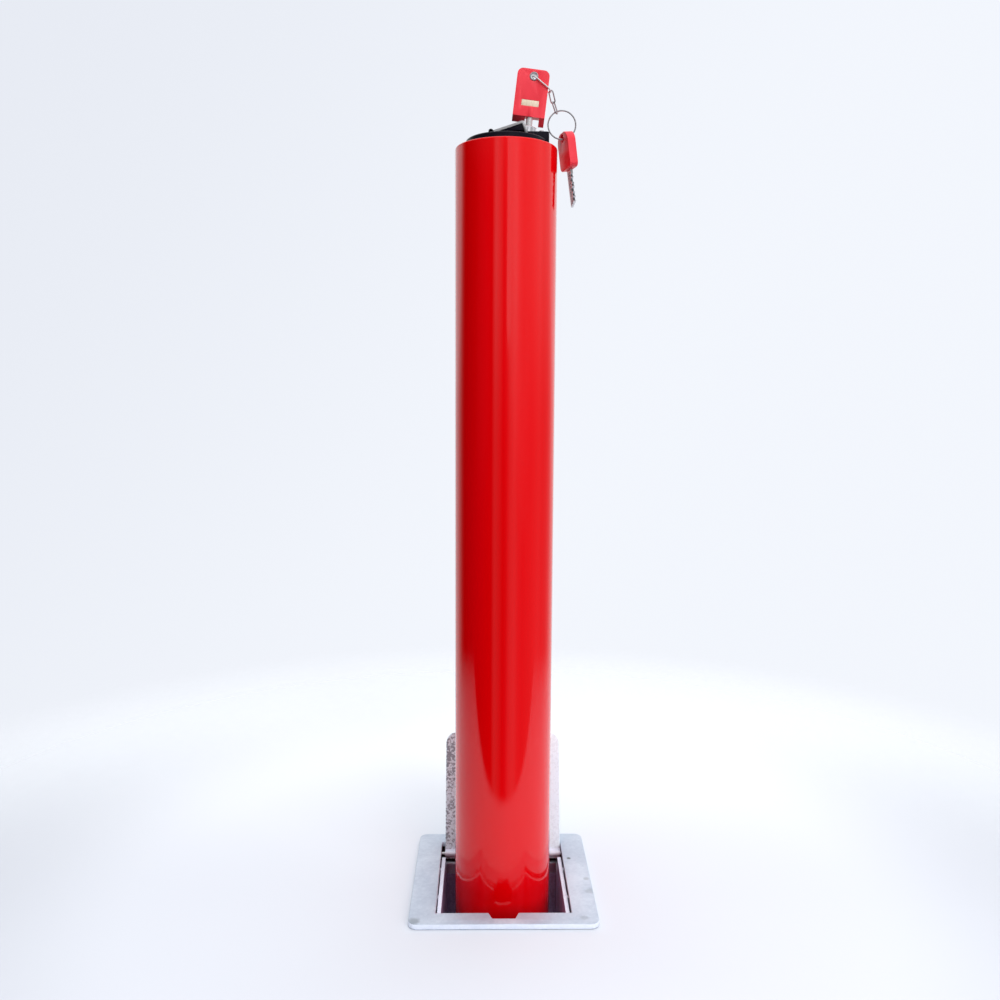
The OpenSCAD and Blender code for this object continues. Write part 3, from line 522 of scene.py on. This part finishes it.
handle_at = Vector((-13.5, -15.2, RIM_Z + 9.5))
LOCK_LEAN = math.radians(6.8)
lock_at = Vector((18.5, 0, RIM_Z + 14))


def shifted(piece, *offset):
    """Moves a piece's mesh, in millimetres."""
    piece.data.transform(Matrix.Translation(Vector(offset) * MM))
    return piece


def leaned(piece):
    """Puts a piece modelled about the lock's own axis in its place in the cap."""
    piece.data.transform(Matrix.Translation(lock_at * MM) @ Matrix.Rotation(LOCK_LEAN, 4, "Y"))
    return piece


def roller(name, radius, low, high, place=(0, 0), sides=48):
    """A round bar along Y from low to high, in millimetres; place is its X and Z."""
    made = drum(name, radius, -high, -low, sides=sides)
    made.data.transform(Matrix.Rotation(math.radians(90), 4, "X"))
    return shifted(made, place[0], 0, place[1])


cap = drum("cap", CROWN_R, RIM_Z - 1, RIM_Z + CROWN_H)
edited(cap, lambda e: min(v.co.z for v in e.verts) > (RIM_Z + CROWN_H - 0.1) * MM,
       lambda: bpy.ops.mesh.bevel(offset=CROWN_ROUND * MM, segments=4), "EDGE")
lock_block = block("lock_block", (BLOCK_LEFT, -BLOCK_SIDE, RIM_Z - 0.5),
                   (BLOCK_RIGHT, BLOCK_SIDE, RIM_Z + BLOCK_H))
edited(lock_block, lambda e: abs(e.verts[0].co.z - e.verts[1].co.z) > MM and e.verts[0].co.x > 30 * MM,
       lambda: bpy.ops.mesh.bevel(offset=BLOCK_ROUND * MM, segments=6), "EDGE")
cap_plug = drum("cap_plug", CAP_PLUG_R, RIM_Z - CAP_PLUG_L, RIM_Z - 0.6)
cut(cap, cap_plug, lock_block, operation="UNION")
for side in (-1, 1):
    lug_y = handle_at.y + side * LUG_OUT
    lug_front, lug_back = lug_y - LUG_HALF, lug_y + LUG_HALF
    knuckle = roller("knuckle", LUG_R, lug_front, lug_back, (handle_at.x, handle_at.z), 32)
    cheek = block("cheek", (handle_at.x - LUG_R, lug_front, RIM_Z + 6),
                  (handle_at.x + LUG_R, lug_back, handle_at.z))
    cut(cap, knuckle, cheek, operation="UNION")
recess = block("recess", (handle_at.x - RECESS_BACK, handle_at.y - RECESS_SIDE, RIM_Z - 4),
               (handle_at.x + RECESS_L, handle_at.y + RECESS_SIDE, RIM_Z + 20))
cut(cap, recess, leaned(drum("barrel_bore", BARREL_R, -60, 20, sides=64)))
rounded(cap, 0.3, 2, 35)
dress(cap, "post", black, "black_plastic", "top_cap")


# Cap screws: two small cross-head screws, bright plated, that hold the lock in its block. They sit
# side by side at the block's right end.
chrome, chrome_shader, s = material("chrome", Metallic=1.0)
haze = noise(s, 300, 4)
feed(s, chrome_shader, Roughness=0.05 + haze * 0.16,
     Base_Color=haze.step(0.3, 0.7).mix((0.72, 0.71, 0.76), (0.84, 0.83, 0.87)))
SCREW_R, SCREW_H, SCREW_IN, SCREW_OUT, CROSS_DEPTH = 2.3, 1.6, 6.6, 5.4, 0.7
block_top = RIM_Z + BLOCK_H
screws = []
for side in (-1, 1):
    x, y = BLOCK_RIGHT - SCREW_IN, side * SCREW_OUT
    screw = drum("screw", SCREW_R, block_top - 0.1, block_top + SCREW_H, (x, y), 40)
    edited(screw, lambda e: min(v.co.z for v in e.verts) > (block_top + SCREW_H - 0.1) * MM,
           lambda: bpy.ops.mesh.bevel(offset=0.55 * MM, segments=3), "EDGE")
    cut(screw, drum("shank", SCREW_R / 2, block_top - 8, block_top, (x, y), 32), operation="UNION")
    for half_x, half_y in ((0.35, 1.5), (1.5, 0.35)):
        cut(screw, block("slot", (x - half_x, y - half_y, block_top + SCREW_H - CROSS_DEPTH),
                         (x + half_x, y + half_y, block_top + 3)))
    screws.append(smooth(screw))
nothing_selected()
for screw in screws:
    screw.select_set(True)
bpy.context.view_layer.objects.active = screws[0]
bpy.ops.object.join()
screws[0].name = "block_screws"
dress(screws[0], "post", chrome, "chrome", "cap_screws")


# Handle: a bent strap of brushed steel over a black moulded wedge; it turns on a pin between the
# cap's lugs and stands a little open.
brushed, brushed_shader, s = material("brushed_steel", Base_Color=(0.66, 0.65, 0.67), Metallic=1.0)
place = s.node("ShaderNodeTexCoord", output=3)
drawn = s.node("ShaderNodeMapping", None, {"Vector": place, "Scale": (0.05, 1, 1)})
lines = s.node("ShaderNodeTexNoise", None, {"Vector": drawn, "Scale": 1500, "Detail": 3})
scratch = s.node("ShaderNodeBump", None, {"Strength": 0.15, "Distance": 0.0003, "Height": lines})
feed(s, brushed_shader, Roughness=0.2 + lines * 0.2, Normal=scratch)
HANDLE_OPEN = math.radians(18.5)
HANDLE_W, HANDLE_L, STRAP_TOP, STRAP_T, STRAP_DROP = 10, 29.5, 0.9, 2, 11
BEND_OUTSIDE, BEND_INSIDE, PIN_HOLE_R = 3, 1, 1.55


def folded_out(piece):
    """Puts a piece modelled about the handle's pin in its place on the cap."""
    piece.data.transform(Matrix.Translation(handle_at * MM) @ Matrix.Rotation(-HANDLE_OPEN, 4, "Y"))
    return piece


def along(edge, x, z):
    """Whether an edge runs along Y at this X and Z, in millimetres."""
    return all(abs(v.co.x - x * MM) < 1e-5 and abs(v.co.z - z * MM) < 1e-5 for v in edge.verts)


strap = block("strap", (0, -HANDLE_W / 2, STRAP_TOP - STRAP_T), (HANDLE_L, HANDLE_W / 2, STRAP_TOP))
strap_end = block("strap_end", (HANDLE_L - STRAP_T, -HANDLE_W / 2, -STRAP_DROP),
                  (HANDLE_L, HANDLE_W / 2, STRAP_TOP - STRAP_T / 2))
cut(strap, strap_end, operation="UNION")
edited(strap, lambda e: along(e, HANDLE_L, STRAP_TOP),
       lambda: bpy.ops.mesh.bevel(offset=BEND_OUTSIDE * MM, segments=8), "EDGE")
edited(strap, lambda e: along(e, HANDLE_L - STRAP_T, STRAP_TOP - STRAP_T),
       lambda: bpy.ops.mesh.bevel(offset=BEND_INSIDE * MM, segments=6), "EDGE")
cut(strap, roller("strap_knuckle", LUG_R, -HANDLE_W / 2, HANDLE_W / 2), operation="UNION")
cut(strap, roller("pin_hole", PIN_HOLE_R, -8, 8, sides=32))
rounded(strap, 0.25, 2, 35)
dress(folded_out(strap), "handle", brushed, "steel", "handle_strap")


# Grip: the black moulded wedge that fills the space under the strap. It grows deeper towards the
# strap's turned-down end, so that its underside lies level in the recess.
WEDGE_LEFT, WEDGE_RIGHT, WEDGE_SIDE, WEDGE_THIN = 8, 27.5, 4.5, 0.4
wedge_top = STRAP_TOP - STRAP_T
wedge = block("wedge", (WEDGE_LEFT, -WEDGE_SIDE, wedge_top - WEDGE_THIN),
              (WEDGE_RIGHT, WEDGE_SIDE, wedge_top))
drop = (WEDGE_RIGHT - WEDGE_LEFT) * math.tan(HANDLE_OPEN) - 1
edited(wedge, lambda v: v.co.x > 20 * MM and v.co.z < (wedge_top - WEDGE_THIN / 2) * MM,
       lambda: bpy.ops.transform.translate(value=(0, 0, -drop * MM)), "VERT")
edited(wedge, lambda e: all(v.co.x > 27 * MM and v.co.z > (wedge_top - 0.1) * MM for v in e.verts),
       lambda: bpy.ops.mesh.bevel(offset=1 * MM, segments=4), "EDGE")
rounded(wedge, 0.35, 3, 20)
dress(folded_out(wedge), "handle", black, "black_plastic", "handle_grip")


# Lock: a chromed brass barrel in the cap's block, leaning a little, with a round plug that has the
# keyway and, at its foot, the flat that turns the rod.
BARREL_FOOT, BARREL_TOP, PLUG_R, PLUG_FOOT, PLUG_TOP = -36, 5, 5.5, -40, 5.6
TANG_W, TANG_T, TANG_FOOT, KEYWAY_W, KEYWAY_T, KEYWAY_FOOT = 9, 3, -47, 8.4, 2.6, -23.4
barrel = drum("barrel", BARREL_R, BARREL_FOOT, BARREL_TOP, sides=96)
edited(barrel, lambda e: min(v.co.z for v in e.verts) > (BARREL_TOP - 0.1) * MM,
       lambda: bpy.ops.mesh.bevel(offset=1.0 * MM, segments=3), "EDGE")
cut(barrel, drum("plug_bore", PLUG_R + 0.05, PLUG_FOOT, 10, sides=96))
smooth(barrel)
dress(leaned(barrel), "post", chrome, "chrome", "lock_barrel")
plug = drum("plug", PLUG_R, PLUG_FOOT, PLUG_TOP, sides=96)
edited(plug, lambda e: min(v.co.z for v in e.verts) > (PLUG_TOP - 0.1) * MM,
       lambda: bpy.ops.mesh.bevel(offset=0.4 * MM, segments=2), "EDGE")
tang = block("tang", (-TANG_W / 2, -TANG_T / 2, TANG_FOOT), (TANG_W / 2, TANG_T / 2, PLUG_FOOT + 1))
cut(plug, tang, operation="UNION")
cut(plug, block("keyway", (-KEYWAY_W / 2, -KEYWAY_T / 2, KEYWAY_FOOT), (KEYWAY_W / 2, KEYWAY_T / 2, 8)))
smooth(plug)
dress(leaned(plug), "plug", bright_steel, "steel", "lock_plug")


# Key: a red moulded head on a nickelled blade. The head has two feet beside the shank, a shallow
# recess for a label, a low rib below it and a bushed hole for the loop.
key_red, key_shader, s = material("key_red", Specular_IOR_Level=0.35)
grain = noise(s, 700, 3)
mould = s.node("ShaderNodeBump", None, {"Strength": 0.12, "Distance": 0.0003, "Height": grain})
feed(s, key_shader, Normal=mould, Roughness=0.3 + grain * 0.15,
     Base_Color=noise(s, 60, 2).step(0.3, 0.7).mix((0.80, 0.035, 0.055), (0.88, 0.045, 0.07)))
HEAD_MID, HEAD_W, HEAD_T, HEAD_FOOT, HEAD_H, HEAD_R = -1.1, 27.8, 8, 13.2, 39.5, 5
LEFT_FOOT_W, LEFT_FOOT_END, RIGHT_FOOT_W, RIGHT_FOOT_END = 11, 9.8, 4.6, 7.5
RIB_R, RIB_H, SHANK_R, EYE_R, EYE_X, EYE_DOWN = 3.7, 8.4, 3, 3.3, 0.5, 6
EYE_UP = HEAD_FOOT + HEAD_H - EYE_DOWN
LABEL_W, LABEL_H, LABEL_UP, LABEL_DEEP = 15, 5.1, 8.65, 0.8


def key_body(name, width, thick, foot, top, radius):
    """A flat moulded head, upright in the XZ plane, with its two upper corners rounded."""
    made = block(name, (-width / 2, -thick / 2, foot), (width / 2, thick / 2, top))
    edited(made, lambda e: all(v.co.z > (top - 0.1) * MM for v in e.verts)
           and abs(e.verts[0].co.y - e.verts[1].co.y) > MM,
           lambda: bpy.ops.mesh.bevel(offset=radius * MM, segments=8), "EDGE")
    return made


def head_foot(left, right, foot):
    """One foot beside the shank: its front slopes back as it goes down."""
    made = block("foot", (left, -HEAD_T / 2, foot), (right, HEAD_T / 2, HEAD_FOOT + 0.5))
    edited(made, lambda v: v.co.y < 0 and v.co.z < (foot + 0.1) * MM,
           lambda: bpy.ops.transform.translate(value=(0, (HEAD_T - 1.5) * MM, 0)), "VERT")
    return made


head = key_body("head", HEAD_W, HEAD_T, HEAD_FOOT, HEAD_FOOT + HEAD_H, HEAD_R)
rib = drum("rib", RIB_R, HEAD_FOOT + 0.02, HEAD_FOOT + RIB_H, (-HEAD_MID, -0.9))
left_foot = head_foot(-HEAD_W / 2, -HEAD_W / 2 + LEFT_FOOT_W, LEFT_FOOT_END)
right_foot = head_foot(HEAD_W / 2 - RIGHT_FOOT_W, HEAD_W / 2, RIGHT_FOOT_END)
cut(head, left_foot, right_foot, rib, operation="UNION")
label_foot = HEAD_FOOT + LABEL_UP
label_recess = block("label_recess", (-LABEL_W / 2 - 0.1, -HEAD_T / 2 - 2, label_foot - 0.1),
                     (LABEL_W / 2 + 0.1, -HEAD_T / 2 + LABEL_DEEP, label_foot + LABEL_H + 0.1))
cut(head, label_recess, roller("eye_bore", EYE_R, -9, 9, (EYE_X, EYE_UP), 64),
    drum("shank_bore", SHANK_R, 5, HEAD_FOOT + 1, (-HEAD_MID, 0)))
rounded(shifted(head, HEAD_MID, 0, 0), 0.55, 3, 35)
dress(leaned(head), "key", key_red, "red_plastic", "key_head")


# Label: a blank cream strip of card or plastic let into the head's front. Its face lies just
# below the head's.
cream, cream_shader, s = material("cream_label")
fibre = noise(s, 500, 4)
feed(s, cream_shader, Roughness=0.45 + fibre * 0.2,
     Base_Color=fibre.step(0.3, 0.7).mix((0.72, 0.58, 0.44), (0.84, 0.72, 0.56)))
strip = block("label_strip", (HEAD_MID - LABEL_W / 2, -HEAD_T / 2 + 0.15, label_foot),
              (HEAD_MID + LABEL_W / 2, -HEAD_T / 2 + LABEL_DEEP, label_foot + LABEL_H))
rounded(strip, 0.15, 2, 35)
dress(leaned(strip), "key", cream, "label", "key_label")


# Eyelet: a flanged bush of nickelled steel pressed through the head from both faces. The wire loop
# runs through it.
nickel, nickel_shader, s = material("nickel", Metallic=1.0)
haze = noise(s, 900, 3)
feed(s, nickel_shader, Roughness=0.14 + haze * 0.22,
     Base_Color=haze.step(0.35, 0.7).mix((0.48, 0.46, 0.49), (0.68, 0.67, 0.69)))
FLANGE_R, FLANGE_T, EYELET_BORE_R = 3.7, 0.4, 2.6
eyelet = roller("eyelet", EYE_R, -HEAD_T / 2 - 0.35, HEAD_T / 2 + 0.35, (0, 0), 48)
for side in (-1, 1):
    inner, outer = sorted((side * HEAD_T / 2, side * (HEAD_T / 2 + FLANGE_T)))
    cut(eyelet, roller("flange", FLANGE_R, inner, outer, (0, 0), 48), operation="UNION")
cut(eyelet, roller("eye", EYELET_BORE_R, -9, 9, (0, 0), 48))
rounded(eyelet, 0.12, 2, 35)
dress(leaned(shifted(eyelet, HEAD_MID + EYE_X, 0, EYE_UP)), "key", nickel, "steel", "key_eyelet")


# Blade: stamped flat stock, nickel plated, with cuts on one edge and two grooves along each face.
# A round shank joins it to the head.
BLADE_W, BLADE_T, BLADE_TOP, BLADE_L, BLADE_TIP = 8, 2.2, 5.6, 28, 3
BLADE_CUTS = [(4, 1.4), (8, 2.2), (12, 1.0), (16, 2.4), (20, 1.6)]


def key_stock(name, top, length, tip, notched, cuts):
    """A blade that hangs down from top, its tip slanted. The cuts, each a way down from top and a
    depth, are on its +X edge where notched is 1 and on its -X edge where it is -1."""
    made = block(name, (-BLADE_W / 2, -BLADE_T / 2, top - length), (BLADE_W / 2, BLADE_T / 2, top))
    edited(made, lambda v: v.co.z < (top - length + 0.1) * MM and v.co.x * notched > 0,
           lambda: bpy.ops.transform.translate(value=(0, 0, tip * MM)), "VERT")
    for down, deep in cuts:
        tooth = block("tooth", (-deep * 0.7, -3, -deep * 0.7), (deep * 0.7, 3, deep * 0.7))
        tooth.data.transform(Matrix.Rotation(math.radians(45), 4, "Y"))
        cut(made, shifted(tooth, notched * BLADE_W / 2, 0, top - down))
    for side in (-1, 1):
        for left, right, half in ((-1.6, -0.2, 0.5), (0.9, 2.1, 0.4)):
            cut(made, block("groove", (left, side * 1.2 - half, top - length - 5),
                            (right, side * 1.2 + half, top - 3)))
    return made


blade = key_stock("blade", BLADE_TOP, BLADE_L, BLADE_TIP, 1, BLADE_CUTS)
shank = drum("shank", SHANK_R, BLADE_TOP - 0.1, HEAD_FOOT + 1, sides=48)
edited(shank, lambda e: all(v.co.z < BLADE_TOP * MM for v in e.verts),
       lambda: bpy.ops.mesh.bevel(offset=0.5 * MM, segments=2), "EDGE")
root = block("root", (-BLADE_W / 2, -1, HEAD_FOOT + 0.9), (BLADE_W / 2, 1, HEAD_FOOT + 10))
cut(blade, shank, root, operation="UNION")
smooth(blade, 30)
# Painted highlight: the blade, its shank and the loop take this lighter copy of the nickel, for the light on
# them.
nickel_lit, nickel_lit_shader, s = material("nickel_lit", Base_Color=(0.90, 0.88, 0.90), Metallic=0.55)
feed(s, nickel_lit_shader, Roughness=0.2 + noise(s, 700, 3) * 0.25)
dress(leaned(blade), "key", nickel_lit, "steel", "key_blade")


# Loop and links: nickelled steel wire. The loop goes through the key's eye, and two links hang from
# it, each hooked into the one above.
WIRE_R, SLACK, RING_SLACK = 0.6, 0.05, 0.5


def on_lock(u, v, up):
    """Where a point given about the lock's own axis lies in the frame, in millimetres."""
    return lock_at + Vector((u * math.cos(LOCK_LEAN) + up * math.sin(LOCK_LEAN), v,
                             up * math.cos(LOCK_LEAN) - u * math.sin(LOCK_LEAN)))


eye_at = on_lock(HEAD_MID + EYE_X, 0, EYE_UP)
loop_end = eye_at + Vector((14.9, 0, -11.6))
link_mid = Vector((40.7, 0, RIM_Z + 39.6))
ring_at = Vector((48.2, 0, RIM_Z + 21.5))
RING_R, RING_TOP_X = 12, -5
ring_top = ring_at + Vector((RING_TOP_X, 0, math.sqrt(RING_R ** 2 - RING_TOP_X ** 2)))


def hooked(place, toward, play):
    """Where a link's middle line ends when it comes from toward and hooks round the wire at place."""
    return place - (toward - place).normalized() * (2 * WIRE_R + play)


def wire_link(name, start, end, turn, half):
    """A stretched loop of wire whose middle line runs from start to end, turned about that line."""
    nothing_selected()
    bpy.ops.mesh.primitive_torus_add(major_radius=half * MM, minor_radius=WIRE_R * MM,
                                     major_segments=36, minor_segments=16)
    made = bpy.context.object
    made.name = name
    line = end - start
    reach = line.length / 2 - half
    for side in (-1, 1):
        edited(made, lambda v: v.co.x * side > 1e-6,
               lambda: bpy.ops.transform.translate(value=(side * reach * MM, 0, 0)), "VERT")
    made.data.transform(Matrix.Translation((start + end) / 2 * MM)
                        @ line.to_track_quat("X", "Z").to_matrix().to_4x4()
                        @ Matrix.Rotation(math.radians(turn), 4, "X"))
    return smooth(made, 60)


loop_start = eye_at + Vector((-1, 0, 0.8))
upper_start = hooked(loop_end, link_mid, SLACK)
lower_start, lower_end = hooked(link_mid, ring_top, SLACK), hooked(ring_top, link_mid, RING_SLACK)
for name, finish, start, end, turn, half in (
        ("key_loop", nickel_lit, loop_start, loop_end, 0, HEAD_T / 2 + 1.6),
        ("chain_link_upper", nickel, upper_start, link_mid, -55, 2),
        ("chain_link_lower", nickel, lower_start, lower_end, 35, 2)):
    dress(wire_link(name + "_wire", start, end, turn, half), "chain", finish, "steel", name)


# Split ring: spring wire wound in just under two turns that lie flat on each other. It hangs in the
# lower link and carries the spare key.
RING_TURNS, RING_PITCH, RING_FLAT = math.radians(700), 0.78, 0.33
nothing_selected()
bpy.ops.mesh.primitive_circle_add(vertices=12, radius=WIRE_R * MM, fill_type="NOTHING",
                                  location=(RING_R * MM, 0, 0), rotation=(math.radians(90), 0, 0))
coil = settled(bpy.context.object)
coil.name = "split_coil"
edited(coil, lambda v: True, lambda: bpy.ops.transform.resize(value=(1, 1, RING_FLAT)), "VERT")
applied(coil, "SCREW", angle=RING_TURNS, screw_offset=RING_PITCH * MM, steps=144, render_steps=144, axis="Z")
edited(coil, lambda e: e.is_boundary, lambda: bpy.ops.mesh.fill_holes(sides=0), "EDGE")
edited(coil, lambda f: True, lambda: bpy.ops.mesh.normals_make_consistent(inside=False))
coil.data.transform(Matrix.Translation(ring_at * MM) @ Matrix.Rotation(math.radians(90), 4, "X")
                    @ Matrix.Rotation(math.radians(150), 4, "Z")
                    @ Matrix.Translation((0, 0, -RING_PITCH / 2 * MM)))
dress(smooth(coil, 60), "ring", nickel, "steel", "split_ring")


# Spare key: it hangs edge on from the ring and has a well rounded red head. Its blade is cut on the
# edge that faces the front.
spare_at = ring_at + Vector((3.8, 0, -11.4))
SPARE_W, SPARE_T, SPARE_H, SPARE_UP, SPARE_R = 24, 7.5, 31, 5, 9
SPARE_LEAN, SPARE_TURN = math.radians(-7.5), math.radians(106)
SPARE_BLADE_L, SPARE_TIP = 32, 4
SPARE_CUTS = [(6, 1.4), (10, 2.2), (14, 1.0), (18, 2.4), (22, 1.6), (26, 2)]


def hung(piece):
    """Puts a piece modelled about the spare key's hole in its place on the ring."""
    piece.data.transform(Matrix.Translation(spare_at * MM) @ Matrix.Rotation(SPARE_LEAN, 4, "Y")
                         @ Matrix.Rotation(SPARE_TURN, 4, "Z"))
    return piece


spare_foot = SPARE_UP - SPARE_H
spare = key_body("spare", SPARE_W, SPARE_T, spare_foot, SPARE_UP, SPARE_R)
edited(spare, lambda e: all(v.co.z < (spare_foot + 0.1) * MM for v in e.verts)
       and abs(e.verts[0].co.y - e.verts[1].co.y) > MM,
       lambda: bpy.ops.mesh.bevel(offset=4 * MM, segments=4), "EDGE")
cut(spare, roller("spare_eye", EYE_R, -9, 9, (0, 0), 64))
rounded(spare, 1.1, 4, 30)
dress(hung(spare), "spare_key", key_red, "red_plastic", "spare_head")
spare_stock = key_stock("spare_stock", spare_foot + 0.2, SPARE_BLADE_L, SPARE_TIP, -1, SPARE_CUTS)
spare_root = block("spare_root", (-BLADE_W / 2, -BLADE_T / 2, spare_foot),
                   (BLADE_W / 2, BLADE_T / 2, spare_foot + 8))
cut(spare_stock, spare_root, operation="UNION")
smooth(spare_stock, 30)
dress(hung(spare_stock), "spare_key", nickel, "steel", "spare_blade")
